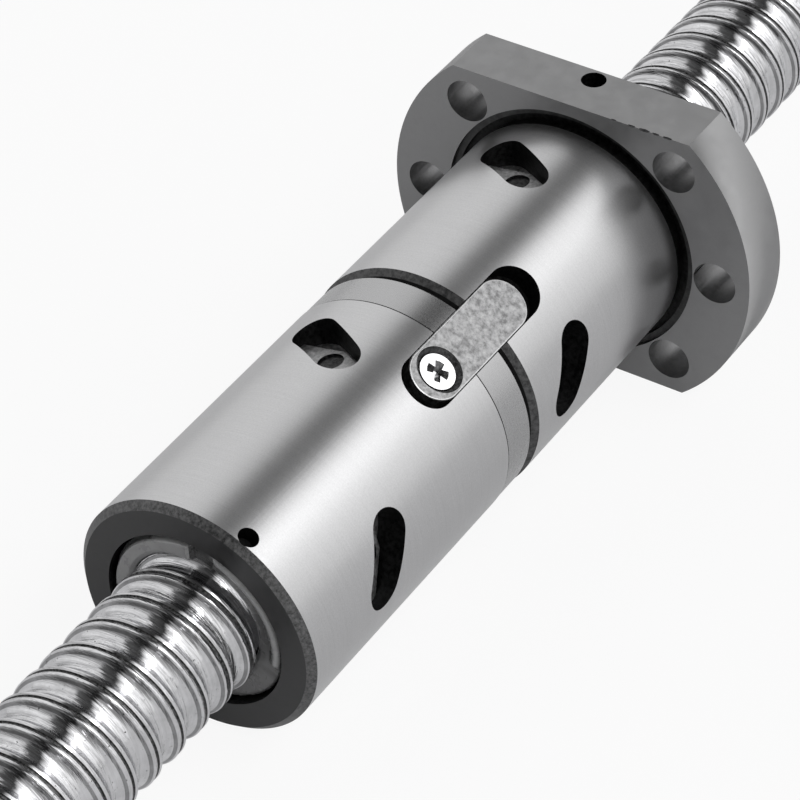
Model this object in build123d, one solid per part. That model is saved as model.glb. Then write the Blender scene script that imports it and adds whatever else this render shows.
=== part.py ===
from build123d import *
import os
from math import ceil, cos, pi, radians, sin, tan

# A flanged double-nut ball screw. X runs along the screw, from the rear nut to the flange, and Z is
# square to the flange's flats. The origin is the centre of the flange's mounting face, the one that
# the nut body stands out of. Sizes are in millimetres. An angle round the screw is counted from +Z
# towards -Y, which is a right-handed turn about +X.

# Screw and balls
lead = 5.0
screw_diameter = 19.9
screw_length = 220.0
screw_rear_overhang = 43.0
ball_diameter = 3.175
ball_circle_diameter = 20.75
balls_per_circuit = 20
groove_clearance = 0.03
groove_floor_clearance = 0.10
groove_flank_angle = 30.0
screw_facets = 12
nut_facets = 8

# Both nuts
rear_nut_diameter = 35.8
rear_nut_length = 46.5
rear_nut_chamfer = 1.0
spacer_width = 5.6
spacer_bore_diameter = 22.6
flange_nut_diameter = 36.0
flange_nut_chamfer = 2.0
nut_bore_diameter = 21.0

# Flange
flange_diameter = 58.0
flange_thickness = 9.0
flange_flat_depth = 7.0
flange_edge_break = 0.5
flange_nut_body_length = 40.2
bolt_rim_distance = 5.5
bolt_hole_diameter = 6.6
bolt_angles = (45, 90, 135, 225, 270, 315)
face_groove_diameter = 40.0
face_groove_depth = 1.2

# Deflectors and their windows
circuits_per_nut = 4
circuit_step_turns = 1.25
rear_first_circuit = 18.3
rear_window_angle = 77.0
flange_window_angle = 81.0
turns_between_nuts = 9
window_length = 13.3
window_width = 6.25
window_tilt = 31.0
deflector_fit = 0.05
deflector_end_flats = 4
deflector_seat_radius = 13.6
deflector_pad_radius = 14.6
deflector_pad_width = 5.2
deflector_pad_half_span = 2.6
window_foot_height = 7.0
return_half_angle = 28.0
return_lift_clearance = 0.10
return_roof_clearance = 0.10
return_side_clearance = 0.75

# Key and its screw
key_angle = 34.5
key_width = 7.6
key_slot_width = 7.8
key_slot_floor_radius = 14.8
key_thickness = 2.95
key_rear_inset = 8.8
key_front_reach = 9.7
key_slot_end_gap = 1.8
key_slot_far_gap = 3.2
key_screw_inset = 5.0
key_screw_head_diameter = 5.8
key_screw_diameter = 3.0
key_screw_tip_radius = 13.0
key_screw_clearance = 0.2

# Wipers and their set screws
wiper_recess_diameter = 26.4
wiper_rim_clearance = 0.1
wiper_recess_depth = 4.5
wiper_thickness = 4.0
wiper_bore_clearance = 0.15
rear_set_screw_inset = 2.3
rear_set_screw_angle = 26.0
rear_set_screw_diameter = 2.8
flange_set_screw_inset = 2.2
flange_set_screw_angle = 0.0
flange_set_screw_diameter = 3.6
set_screw_length = 2.4
set_screw_clearance = 0.05

# Places along the screw that follow from the sizes
spacer_rear_x = -flange_nut_body_length - spacer_width
rear_nut_x = spacer_rear_x - rear_nut_length
nut_front_x = flange_thickness
screw_rear_x = rear_nut_x - screw_rear_overhang

ball_radius = ball_diameter / 2
ball_circle_radius = ball_circle_diameter / 2
screw_radius = screw_diameter / 2


def groove_centre_x(angle):
    """Where the shared helix of the ball grooves crosses an angle, in one of its turns."""
    first_x = rear_nut_x + rear_first_circuit - lead / 2
    return first_x + lead * (angle - rear_window_angle) / 360


def off_axis(radius, angle):
    """The y and z of a point at a radius and an angle round the screw."""
    return -radius * sin(radians(angle)), radius * cos(radians(angle))


def around(x, angle):
    """A plane across a radius at x: its Z points outwards and its X runs along the screw."""
    return Plane(origin=(x, 0, 0), x_dir=(1, 0, 0), z_dir=(0, *off_axis(1, angle)))


def axial_cylinder(radius, x_low, x_high, angle=0, distance=0):
    """A cylinder along the screw, on its axis or at an angle and a distance from it."""
    disc = Plane(origin=(x_low, *off_axis(distance, angle)), z_dir=(1, 0, 0)) * Circle(radius)
    return extrude(disc, amount=x_high - x_low)


def radial_prism(sketch, x, angle, low, high):
    """A sketch pushed outwards along a radius, from one distance off the axis to another."""
    return extrude(around(x, angle) * Pos(0, 0, low) * sketch, amount=high - low)


def turned(points):
    """The solid turned from an outline of (x, radius) points about the screw's axis."""
    outline = make_face(Polyline(*[(x, 0, r) for x, r in points], close=True))
    return revolve(outline, axis=Axis.X)


def groove_profile(land_radius, floor_radius):
    """One lead of a groove that holds a ball, as (x, radius) corners.

    The flanks lean back from the radius by the flank angle and pass the ball with the groove's
    clearance. The groove's centre is at x = 0 and again one lead on.
    """
    lean = radians(groove_flank_angle)

    def half_width(radius):
        past_ball = abs(radius - ball_circle_radius)
        return (ball_radius + groove_clearance - past_ball * sin(lean)) / cos(lean)

    mouth, floor = half_width(land_radius), half_width(floor_radius)
    return [
        (mouth, land_radius),
        (lead - mouth, land_radius),
        (lead - floor, floor_radius),
        (lead + floor, floor_radius),
        (lead + mouth, land_radius),
    ]


def threaded_bar(profile, facets_per_turn, x_low, x_high):
    """A bar with a right-handed helical profile, laid in flat facets and cut off square at both ends.

    Each corner of the profile runs as a helix of straight steps. The bar is wound past both ends,
    where a fan of triangles and the profile itself close it, and then trimmed.
    """
    first_turn = ceil((x_low - groove_centre_x(0)) / lead) - 3
    turns = ceil((x_high - x_low) / lead) + 5
    start_x = groove_centre_x(0) + first_turn * lead
    steps = turns * facets_per_turn

    def corner(x, radius, step):
        turn = step / facets_per_turn
        return Vector(start_x + x + lead * turn, *off_axis(radius, 360 * turn))

    def facet(*corners):
        return Face(Wire.make_polygon(corners, close=True))

    facets = []
    for step in range(steps):
        for (x_a, r_a), (x_b, r_b) in zip(profile[:-1], profile[1:]):
            near = corner(x_a, r_a, step), corner(x_b, r_b, step)
            far = corner(x_b, r_b, step + 1), corner(x_a, r_a, step + 1)
            if r_a == r_b:
                facets.append(facet(*near, *far))
            else:
                facets.append(facet(near[0], near[1], far[0]))
                facets.append(facet(near[0], far[0], far[1]))
    for end in (0, steps):
        hub = corner(profile[0][0], 0, end)
        rim = [corner(*profile[0], end + step) for step in range(facets_per_turn + 1)]
        facets += [facet(hub, a, b) for a, b in zip(rim[:-1], rim[1:])]
        facets.append(facet(hub, *[corner(x, r, end) for x, r in profile]))
    bar = Solid(Shell(facets))

    outside = 4 * max(radius for _, radius in profile)
    past = turns * lead
    rear = Pos(x_low - past / 2, 0, 0) * Box(past, outside, outside)
    front = Pos(x_high + past / 2, 0, 0) * Box(past, outside, outside)
    return bar - rear - front


def opened_out(profile, facets_per_turn):
    """The profile for a bore, in which the flat of each facet, not its corners, keeps the radius."""
    return [(x, radius / cos(pi / facets_per_turn)) for x, radius in profile]


def screw_profile():
    floor_radius = ball_circle_radius - ball_radius - groove_floor_clearance
    return groove_profile(screw_radius, floor_radius)


def nut_bore_tool(x_low, x_high):
    floor_radius = ball_circle_radius + ball_radius + groove_floor_clearance
    profile = groove_profile(nut_bore_diameter / 2, floor_radius)
    return threaded_bar(opened_out(profile, nut_facets), nut_facets, x_low, x_high)


def wiper_bore_tool(x_low, x_high):
    """The screw's own profile, stood off by the wiper's clearance on the lands, flanks and floor."""
    shift = wiper_bore_clearance / cos(radians(groove_flank_angle))
    mouth, _, _, floor, _ = [x for x, _ in screw_profile()]
    ridge = floor - lead
    lean = tan(radians(groove_flank_angle)) * wiper_bore_clearance
    land_radius = screw_radius + wiper_bore_clearance
    floor_radius = screw_profile()[3][1] + wiper_bore_clearance
    mouth_x = mouth + lean - shift
    ridge_x = ridge + lean - shift
    profile = [
        (mouth_x, land_radius),
        (lead - mouth_x, land_radius),
        (lead - ridge_x, floor_radius),
        (lead + ridge_x, floor_radius),
        (lead + mouth_x, land_radius),
    ]
    return threaded_bar(opened_out(profile, screw_facets), screw_facets, x_low, x_high)


def circuits(first_x, first_angle):
    """The (x, angle) of each deflector of one nut."""
    step_angle = 360 * circuit_step_turns
    return [
        (first_x + n * circuit_step_turns * lead, (first_angle + n * step_angle) % 360)
        for n in range(circuits_per_nut)
    ]


def rear_circuits():
    return circuits(rear_nut_x + rear_first_circuit, rear_window_angle)


def flange_circuits():
    first_x = groove_centre_x(flange_window_angle) + lead / 2 + turns_between_nuts * lead
    return circuits(first_x, flange_window_angle)


def window_outline():
    return Rot(0, 0, 90 - window_tilt) * SlotOverall(window_length, window_width)


def insert_outline():
    """The window's outline less the deflector's fit, with its round ends laid in a few flats."""
    radius = window_width / 2 - deflector_fit
    reach = window_length / 2 - deflector_fit - radius
    points = []
    for side in (1, -1):
        for n in range(deflector_end_flats + 1):
            turn = radians(180 * n / deflector_end_flats - 90)
            points.append((side * (reach + radius * cos(turn)), side * radius * sin(turn)))
    return Rot(0, 0, 90 - window_tilt) * make_face(Polyline(*points, close=True))


def cut_windows(nut, places, outer_radius):
    for x, angle in places:
        nut -= radial_prism(window_outline(), x, angle, window_foot_height, outer_radius + 1)
    return nut


def key_slot(width, x_low, x_high):
    """An outline with round ends, as long as given, drawn about the middle of its length."""
    return SlotOverall(x_high - x_low, width)


def key_span():
    return spacer_rear_x - key_rear_inset, spacer_rear_x + spacer_width + key_front_reach


def cut_key_slot(body):
    key_low, key_high = key_span()
    low, high = key_low - key_slot_end_gap, key_high + key_slot_far_gap
    outline = key_slot(key_slot_width, low, high)
    high_radius = flange_nut_diameter / 2 + 1
    return body - radial_prism(outline, (low + high) / 2, key_angle, key_slot_floor_radius, high_radius)


def key_screw_x():
    return key_span()[0] + key_screw_inset - key_screw_clearance


def make_rear_nut():
    radius = rear_nut_diameter / 2
    body = turned(
        [
            (rear_nut_x, 0),
            (rear_nut_x, radius - rear_nut_chamfer),
            (rear_nut_x + rear_nut_chamfer, radius),
            (spacer_rear_x, radius),
            (spacer_rear_x, 0),
        ]
    )
    body -= nut_bore_tool(rear_nut_x - 1, spacer_rear_x + 1)
    body -= axial_cylinder(wiper_recess_diameter / 2, rear_nut_x - 1, rear_nut_x + wiper_recess_depth)
    body = cut_windows(body, rear_circuits(), radius)
    body = cut_key_slot(body)
    screw_hole = Circle(key_screw_diameter / 2)
    low = key_screw_tip_radius - key_screw_clearance
    body -= radial_prism(screw_hole, key_screw_x(), key_angle, low, radius)
    set_screw_hole = Circle(rear_set_screw_diameter / 2)
    hole_x = rear_nut_x + rear_set_screw_inset
    body -= radial_prism(set_screw_hole, hole_x, rear_set_screw_angle, ball_circle_radius, radius + 1)
    return body


def make_spacer():
    front_x = spacer_rear_x + spacer_width
    ring = axial_cylinder(rear_nut_diameter / 2, spacer_rear_x, front_x)
    ring -= axial_cylinder(spacer_bore_diameter / 2, spacer_rear_x, front_x)
    return cut_key_slot(ring)


def make_flange_nut():
    radius = flange_nut_diameter / 2
    rear_x = -flange_nut_body_length
    body = turned(
        [
            (rear_x, 0),
            (rear_x, radius - flange_nut_chamfer),
            (rear_x + flange_nut_chamfer, radius),
            (face_groove_depth, radius),
            (face_groove_depth, face_groove_diameter / 2),
            (0, face_groove_diameter / 2),
            (0, flange_diameter / 2 - flange_edge_break),
            (flange_edge_break, flange_diameter / 2),
            (nut_front_x - flange_edge_break, flange_diameter / 2),
            (nut_front_x, flange_diameter / 2 - flange_edge_break),
            (nut_front_x, 0),
        ]
    )
    for side in (1, -1):
        over = 2 * flange_flat_depth
        centre = Pos(flange_thickness / 2, 0, side * flange_diameter / 2)
        body -= centre * Box(flange_thickness + 1, flange_diameter + 1, over)
    for angle in bolt_angles:
        distance = flange_diameter / 2 - bolt_rim_distance
        body -= axial_cylinder(bolt_hole_diameter / 2, -1, flange_thickness + 1, angle, distance)
    body -= nut_bore_tool(rear_x - 1, nut_front_x + 1)
    recess_x = nut_front_x - wiper_recess_depth
    body -= axial_cylinder(wiper_recess_diameter / 2, recess_x, nut_front_x + 1)
    body = cut_windows(body, flange_circuits(), radius)
    body = cut_key_slot(body)
    hole_x = nut_front_x - flange_set_screw_inset
    set_screw_hole = Circle(flange_set_screw_diameter / 2)
    low, high = ball_circle_radius, flange_diameter / 2
    body -= radial_prism(set_screw_hole, hole_x, flange_set_screw_angle, low, high)
    return body


def make_key():
    low, high = key_span()
    base = key_slot_floor_radius
    top = base + key_thickness
    middle = (low + high) / 2
    key = radial_prism(key_slot(key_width, low, high), middle, key_angle, base, top)
    at_screw = around(key_screw_x(), key_angle)
    head_radius = key_screw_head_diameter / 2 + key_screw_clearance
    sink_depth = head_radius - key_screw_diameter / 2
    sink = at_screw * Pos(0, 0, top - sink_depth / 2) * Cone(key_screw_diameter / 2, head_radius, sink_depth)
    shank = radial_prism(Circle(key_screw_diameter / 2 + key_screw_clearance), key_screw_x(), key_angle, base, top)
    return key - sink - shank


def make_key_screw():
    top = key_slot_floor_radius + key_thickness - key_screw_clearance / 2
    head_radius = key_screw_head_diameter / 2
    shank_radius = key_screw_diameter / 2
    head_depth = head_radius - shank_radius
    head = Pos(0, 0, top - head_depth / 2) * Cone(shank_radius, head_radius, head_depth)
    shank = Circle(shank_radius)
    shank_low, shank_high = key_screw_tip_radius, top - head_depth
    screw = around(key_screw_x(), key_angle) * head
    return screw + radial_prism(shank, key_screw_x(), key_angle, shank_low, shank_high)


def make_wiper(face_x, outwards):
    """A ring that seats in a nut's end recess, its front face pointing outwards (-1 or +1 along X)."""
    seat = face_x - outwards * wiper_recess_depth
    front = seat + outwards * wiper_thickness
    low, high = min(seat, front), max(seat, front)
    radius = wiper_recess_diameter / 2 - wiper_rim_clearance
    return axial_cylinder(radius, low, high) - wiper_bore_tool(low - 1, high + 1)


def make_set_screws():
    low = wiper_recess_diameter / 2
    rear_x = rear_nut_x + rear_set_screw_inset
    flange_x = nut_front_x - flange_set_screw_inset
    screws = []
    for x, angle, diameter in (
        (rear_x, rear_set_screw_angle, rear_set_screw_diameter),
        (flange_x, flange_set_screw_angle, flange_set_screw_diameter),
    ):
        body = Circle(diameter / 2 - set_screw_clearance)
        screws.append(radial_prism(body, x, angle, low, low + set_screw_length))
    return screws


def return_lift():
    """How far a ball rises in a deflector, so that it clears the screw's land."""
    return screw_radius + ball_radius + return_lift_clearance - ball_circle_radius


def circuit_path(x, angle, samples=360):
    """Ball centres round one circuit: nearly a turn of the helix, and back over the land."""
    points = []
    lead_in = lead * (0.5 - return_half_angle / 360)
    for n in range(samples):
        swing = 360 * n / samples - return_half_angle
        if swing < return_half_angle:
            share = (swing + return_half_angle) / (2 * return_half_angle)
            across = share * share * (3 - 2 * share)
            along = lead_in * (1 - 2 * across)
            radius = ball_circle_radius + return_lift() * sin(pi * share) ** 2
        else:
            along = lead * (swing / 360 - 0.5)
            radius = ball_circle_radius
        points.append(Vector(x + along, *off_axis(radius, angle + swing)))
    return points


def make_balls(x, angle):
    """The balls of one circuit, spaced evenly along their closed path, each a small flat-faced solid."""
    path = circuit_path(x, angle)
    path.append(path[0])
    lengths = [0.0]
    for a, b in zip(path[:-1], path[1:]):
        lengths.append(lengths[-1] + (b - a).length)
    pitch = lengths[-1] / balls_per_circuit
    balls = []
    index = 0
    for n in range(balls_per_circuit):
        while lengths[index + 1] <= n * pitch:
            index += 1
        share = (n * pitch - lengths[index]) / (lengths[index + 1] - lengths[index])
        balls.append(Pos(*(path[index] + (path[index + 1] - path[index]) * share)) * faceted_ball())
    return balls


def faceted_ball():
    """An octahedron whose corners lie on the ball."""
    reach = ball_radius
    equator = [(reach, 0, 0), (0, reach, 0), (-reach, 0, 0), (0, -reach, 0)]
    faces = []
    for a, b in zip(equator, equator[1:] + equator[:1]):
        for pole in ((0, 0, reach), (0, 0, -reach)):
            faces.append(Face(Wire.make_polygon([a, b, pole], close=True)))
    return Solid(Shell(faces))


def make_deflector(x, angle):
    """The insert in one window: a seat with a raised pad, and the return channel under it."""
    outline = insert_outline()
    body = radial_prism(outline, x, angle, window_foot_height, deflector_seat_radius)
    long_way = Rot(0, 0, 90 - window_tilt)
    pad = outline & long_way * Rectangle(window_length, deflector_pad_width)
    pad &= Rectangle(window_length, 2 * deflector_pad_half_span)
    body += radial_prism(pad, x, angle, deflector_seat_radius, deflector_pad_radius)

    flat_bore = RegularPolygon(nut_bore_diameter / 2, nut_facets, major_radius=False)
    across = Plane(origin=(x - window_length, 0, 0), x_dir=(0, *off_axis(1, angle)), z_dir=(1, 0, 0))
    body -= extrude(across * flat_bore, amount=2 * window_length)

    roof = ball_circle_radius + return_lift() + ball_radius + return_roof_clearance
    channel_width = ball_diameter + 2 * return_side_clearance
    channel = long_way * Rectangle(window_length, channel_width)
    return body - radial_prism(channel, x, angle, window_foot_height, roof)


def make_screw():
    front_x = screw_rear_x + screw_length
    return threaded_bar(screw_profile(), screw_facets, screw_rear_x, front_x)


def node_solids():
    nodes = {
        "flange_nut": [make_flange_nut()],
        "rear_nut": [make_rear_nut()],
        "spacer_ring": [make_spacer()],
        "parallel_key": [make_key()],
        "key_screw": [make_key_screw()],
        "rear_wiper": [make_wiper(rear_nut_x, -1)],
        "flange_wiper": [make_wiper(nut_front_x, 1)],
        "wiper_set_screws": make_set_screws(),
        "screw_shaft": [make_screw()],
    }
    for nut, places in (("rear_nut", rear_circuits()), ("flange_nut", flange_circuits())):
        for n, (x, angle) in enumerate(places, start=1):
            nodes[f"{nut}_deflector_{n}"] = [make_deflector(x, angle)]
            nodes[f"{nut}_balls_{n}"] = make_balls(x, angle)
    return nodes


def main():
    os.makedirs("parts", exist_ok=True)
    for name, pieces in node_solids().items():
        solids = [solid for piece in pieces for solid in piece.solids()]
        export_step(Compound(children=solids) if len(solids) > 1 else solids[0], f"parts/{name}.step")


main()
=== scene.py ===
import bpy
import bmesh
from math import acos, ceil, cos, hypot, pi, radians, sin
from mathutils import Matrix, Vector


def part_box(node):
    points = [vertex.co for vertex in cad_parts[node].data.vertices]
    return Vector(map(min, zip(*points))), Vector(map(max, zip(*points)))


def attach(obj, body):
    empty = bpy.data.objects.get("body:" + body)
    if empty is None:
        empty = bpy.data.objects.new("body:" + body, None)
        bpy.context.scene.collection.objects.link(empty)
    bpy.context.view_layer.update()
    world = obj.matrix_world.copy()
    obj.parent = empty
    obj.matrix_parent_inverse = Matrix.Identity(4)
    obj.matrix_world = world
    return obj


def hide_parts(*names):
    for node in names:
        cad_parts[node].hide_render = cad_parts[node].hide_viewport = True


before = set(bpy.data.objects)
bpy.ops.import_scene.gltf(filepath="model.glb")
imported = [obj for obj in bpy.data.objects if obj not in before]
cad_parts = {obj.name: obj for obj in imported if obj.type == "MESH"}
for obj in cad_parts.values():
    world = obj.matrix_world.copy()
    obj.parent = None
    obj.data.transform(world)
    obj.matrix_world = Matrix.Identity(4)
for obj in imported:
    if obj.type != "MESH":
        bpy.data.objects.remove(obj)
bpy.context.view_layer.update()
print("frame loaded:", len(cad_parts), "parts")

# Lengths in the dictionaries below are millimetres, along X and out from the screw's axis.
# Angles round the screw run from straight up towards -Y.
mm = 0.001
lead = 5.0
alongX = Vector((1, 0, 0))


def span(node):
    # where a part of the frame starts and ends along the screw
    low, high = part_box(node)
    return low[0] / mm, high[0] / mm


rearStart, rearEnd = span("rear_nut")
spacerStart, spacerEnd = span("spacer_ring")
flangeStart, flangeEnd = span("flange_nut")
shaftStart, shaftEnd = span("screw_shaft")


def newMaterial(name):
    material = bpy.data.materials.new(name)
    material.use_nodes = True
    nodes, links = material.node_tree.nodes, material.node_tree.links
    return material, nodes, links, nodes["Principled BSDF"]


def stretchedNoise(nodes, links, scale, detail=4.0, roughness=0.6):
    # noise with its own scale in x, y and z, in noise cells per metre
    place = nodes.new("ShaderNodeTexCoord")
    mapping = nodes.new("ShaderNodeMapping")
    mapping.inputs["Scale"].default_value = scale
    links.new(place.outputs["Object"], mapping.inputs["Vector"])
    noise = nodes.new("ShaderNodeTexNoise")
    noise.inputs["Scale"].default_value = 1.0
    noise.inputs["Detail"].default_value = detail
    noise.inputs["Roughness"].default_value = roughness
    links.new(mapping.outputs["Vector"], noise.inputs["Vector"])
    return noise.outputs["Fac"]


def spread(nodes, links, source, low, high, noiseRange=(0.3, 0.7)):
    ramp = nodes.new("ShaderNodeMapRange")
    ramp.inputs["From Min"].default_value = noiseRange[0]
    ramp.inputs["From Max"].default_value = noiseRange[1]
    ramp.inputs["To Min"].default_value = low
    ramp.inputs["To Max"].default_value = high
    links.new(source, ramp.inputs["Value"])
    return ramp.outputs["Result"]


def greyBetween(nodes, links, source, dark, light, noiseRange=(0.3, 0.7), blue=1.01):
    ramp = nodes.new("ShaderNodeValToRGB")
    for element, position, grey in zip(ramp.color_ramp.elements, noiseRange, (dark, light)):
        element.position = position
        element.color = (grey, grey, grey * blue, 1)
    links.new(source, ramp.inputs["Fac"])
    return ramp.outputs["Color"]


def blended(nodes, links, first, second, share):
    mix = nodes.new("ShaderNodeMix")
    mix.inputs["Factor"].default_value = share
    links.new(first, mix.inputs["A"])
    links.new(second, mix.inputs["B"])
    return mix.outputs["Result"]


def multiplied(nodes, links, first, second):
    mix = nodes.new("ShaderNodeMix")
    mix.data_type = "RGBA"
    mix.blend_type = "MULTIPLY"
    mix.inputs["Factor"].default_value = 1.0
    links.new(first, mix.inputs["A"])
    links.new(second, mix.inputs["B"])
    return mix.outputs["Result"]


def bumpFrom(nodes, links, source, shader, strength, distance):
    bump = nodes.new("ShaderNodeBump")
    bump.inputs["Strength"].default_value = strength
    bump.inputs["Distance"].default_value = distance
    links.new(source, bump.inputs["Height"])
    links.new(bump.outputs["Normal"], shader.inputs["Normal"])


def groundSteel(name, dark, light, roughLow, roughHigh, lines=12000.0, around=90.0, grain=5200.0):
    # turned and ground: faint lines that run round the piece, and a fine even grain over them
    material, nodes, links, shader = newMaterial(name)
    fine = stretchedNoise(nodes, links, (lines, around, around), detail=3.0, roughness=0.7)
    speckle = stretchedNoise(nodes, links, (grain, grain, grain), detail=2.0, roughness=0.8)
    both = blended(nodes, links, fine, speckle, 0.6)
    links.new(greyBetween(nodes, links, both, dark, light), shader.inputs["Base Color"])
    links.new(spread(nodes, links, both, roughLow, roughHigh), shader.inputs["Roughness"])
    shader.inputs["Metallic"].default_value = 1.0
    bumpFrom(nodes, links, both, shader, 0.14, 0.00001)
    return material


def mottledSteel(name, dark, light, cells, rough, bump=0.3):
    # blotches of two greys, rougher where they are lighter
    material, nodes, links, shader = newMaterial(name)
    blotch = stretchedNoise(nodes, links, (cells, cells, cells), detail=6.0, roughness=0.65)
    links.new(greyBetween(nodes, links, blotch, dark, light, (0.35, 0.68)), shader.inputs["Base Color"])
    links.new(spread(nodes, links, blotch, rough - 0.1, rough + 0.12), shader.inputs["Roughness"])
    shader.inputs["Metallic"].default_value = 1.0
    bumpFrom(nodes, links, blotch, shader, bump, 0.00005)
    return material


def plasticFinish(name, dark, light, cells=420.0, depth=0.002):
    # clouded plastic that light goes a little way into
    material, nodes, links, shader = newMaterial(name)
    cloud = stretchedNoise(nodes, links, (cells, cells, cells))
    links.new(greyBetween(nodes, links, cloud, dark, light), shader.inputs["Base Color"])
    links.new(spread(nodes, links, cloud, 0.22, 0.36), shader.inputs["Roughness"])
    shader.inputs["Subsurface Weight"].default_value = 0.2
    shader.inputs["Subsurface Radius"].default_value = (depth, depth, depth)
    bumpFrom(nodes, links, cloud, shader, 0.1, 0.00004)
    return material


def shaftFinish(name, dark, light):
    # bright rolled groove: streaks that run round the screw, smudges and tiny pits
    material, nodes, links, shader = newMaterial(name)
    smudge = stretchedNoise(nodes, links, (420.0, 420.0, 420.0), detail=6.0, roughness=0.65)
    streak = stretchedNoise(nodes, links, (2600.0, 110.0, 110.0), detail=3.0, roughness=0.6)
    pits = stretchedNoise(nodes, links, (2300.0, 2300.0, 2300.0), detail=2.0, roughness=0.5)
    dots = greyBetween(nodes, links, pits, 0.08, 1.0, (0.25, 0.31))
    tone = greyBetween(nodes, links, blended(nodes, links, smudge, streak, 0.45), dark, light)
    links.new(multiplied(nodes, links, tone, dots), shader.inputs["Base Color"])
    links.new(spread(nodes, links, smudge, 0.05, 0.14), shader.inputs["Roughness"])
    shader.inputs["Metallic"].default_value = 1.0
    bumpFrom(nodes, links, streak, shader, 0.6, 0.00018)
    return material


# the dark and light grey of each finish, its noise cells per metre, its roughness and its bump
groundLooks = {
    "groundBody": {"dark": 0.46, "light": 0.60, "roughLow": 0.28, "roughHigh": 0.34},
    "spacerSteel": {"dark": 0.38, "light": 0.45, "roughLow": 0.24, "roughHigh": 0.32},
}
mottledLooks = {
    "endFaceSteel": {"dark": 0.070, "light": 0.088, "cells": 700.0, "rough": 0.42, "bump": 0.03},
    "flangeSteel": {"dark": 0.27, "light": 0.31, "cells": 350.0, "rough": 0.40, "bump": 0.03},
    "edgeSteel": {"dark": 0.42, "light": 0.62, "cells": 1500.0, "rough": 0.3},
    "rimSteel": {"dark": 0.06, "light": 0.16, "cells": 1500.0, "rough": 0.35},
    # near black for the walls of the windows, the key slot and the screw holes: a dark finish with painted
    # shade on it
    "windowWall": {"dark": 0.008, "light": 0.035, "cells": 1500.0, "rough": 0.5, "bump": 0.8},
    "holeWall": {"dark": 0.17, "light": 0.25, "cells": 900.0, "rough": 0.4, "bump": 0.1},
    "chamferSteel": {"dark": 0.07, "light": 0.20, "cells": 2200.0, "rough": 0.42, "bump": 0.5},
    "shadowSteel": {"dark": 0.05, "light": 0.15, "cells": 1600.0, "rough": 0.45, "bump": 0.6},
    # near black for the joints between the nuts and the spacer: painted shadow
    "seamLine": {"dark": 0.01, "light": 0.02, "cells": 1500.0, "rough": 0.6},
    "keySteel": {"dark": 0.13, "light": 0.46, "cells": 1200.0, "rough": 0.38, "bump": 0.5},
    "deflectorSteel": {"dark": 0.26, "light": 0.55, "cells": 1900.0, "rough": 0.42, "bump": 0.5},
    "screwHeadSteel": {"dark": 0.80, "light": 0.95, "cells": 1500.0, "rough": 0.30, "bump": 0.15},
    "crossSteel": {"dark": 0.10, "light": 0.55, "cells": 1800.0, "rough": 0.35, "bump": 0.4},
    # near black for the recesses, the bore, the dimple and the countersink: painted shade
    "recessSteel": {"dark": 0.02, "light": 0.11, "cells": 2200.0, "rough": 0.42, "bump": 0.8},
    "blackOxide": {"dark": 0.015, "light": 0.03, "cells": 1500.0, "rough": 0.5},
    # dark grey for the step in the flange's groove: painted shade
    "ringSteel": {"dark": 0.04, "light": 0.075, "cells": 700.0, "rough": 0.4, "bump": 0.05},
    "ballSteel": {"dark": 0.60, "light": 0.70, "cells": 900.0, "rough": 0.12, "bump": 0.02},
    "seamSteel": {"dark": 0.015, "light": 0.22, "cells": 3000.0, "rough": 0.45, "bump": 0.8},
}
plasticLooks = {
    "wiperPlastic": {"dark": 0.12, "light": 0.17},
    # a lighter plastic for the raised pad and ridge: painted light
    "wiperPale": {"dark": 0.27, "light": 0.34},
    "wiperShade": {"dark": 0.02, "light": 0.05},
}
shaftLooks = {
    "shaftSteel": {"dark": 0.52, "light": 0.82},
    # darker steel for the faces along the groove's edges: painted shade
    "dullShaftSteel": {"dark": 0.18, "light": 0.42},
}
finish = {}
for makeFinish, looks in ((groundSteel, groundLooks), (mottledSteel, mottledLooks),
                          (plasticFinish, plasticLooks), (shaftFinish, shaftLooks)):
    for name, look in looks.items():
        finish[name] = makeFinish(name, **look)
print("finishes made:", len(finish))


mergeDistance = 1e-4
cutterTop = 24.0  # cutters that go in from the side of a nut end well outside it


def outward(angle):
    return Vector((0.0, -sin(radians(angle)), cos(radians(angle))))


def aroundAxis(x, radius, angle):
    return Vector((x, 0.0, 0.0)) + outward(angle) * radius


def linkedPiece(name, mesh, materials=()):
    for material in materials:
        mesh.materials.append(material)
    piece = bpy.data.objects.new(name, mesh)
    bpy.context.scene.collection.objects.link(piece)
    return piece


def meshPiece(name, verts, faces, finishes):
    mesh = bpy.data.meshes.new(name)
    mesh.from_pydata([tuple(v) for v in verts], [], faces)
    bm = bmesh.new()
    bm.from_mesh(mesh)
    bmesh.ops.remove_doubles(bm, verts=bm.verts, dist=mergeDistance)
    bmesh.ops.recalc_face_normals(bm, faces=bm.faces)
    bm.to_mesh(mesh)
    bm.free()
    return linkedPiece(name, mesh, [finish[look] for look in finishes])


def lathe(name, profile, steps, finishes):
    # profile: closed loop of (x, radius) points, radius zero allowed
    verts, faces = [], []
    count = len(profile)
    for step in range(steps):
        for x, radius in profile:
            verts.append(aroundAxis(x, radius, 360 * step / steps))
    for step in range(steps):
        here, there = step * count, (step + 1) % steps * count
        for i in range(count):
            j = (i + 1) % count
            if profile[i][1] == 0 and profile[j][1] == 0:
                continue
            faces.append((here + i, here + j, there + j, there + i))
    return meshPiece(name, verts, faces, finishes)


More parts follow.
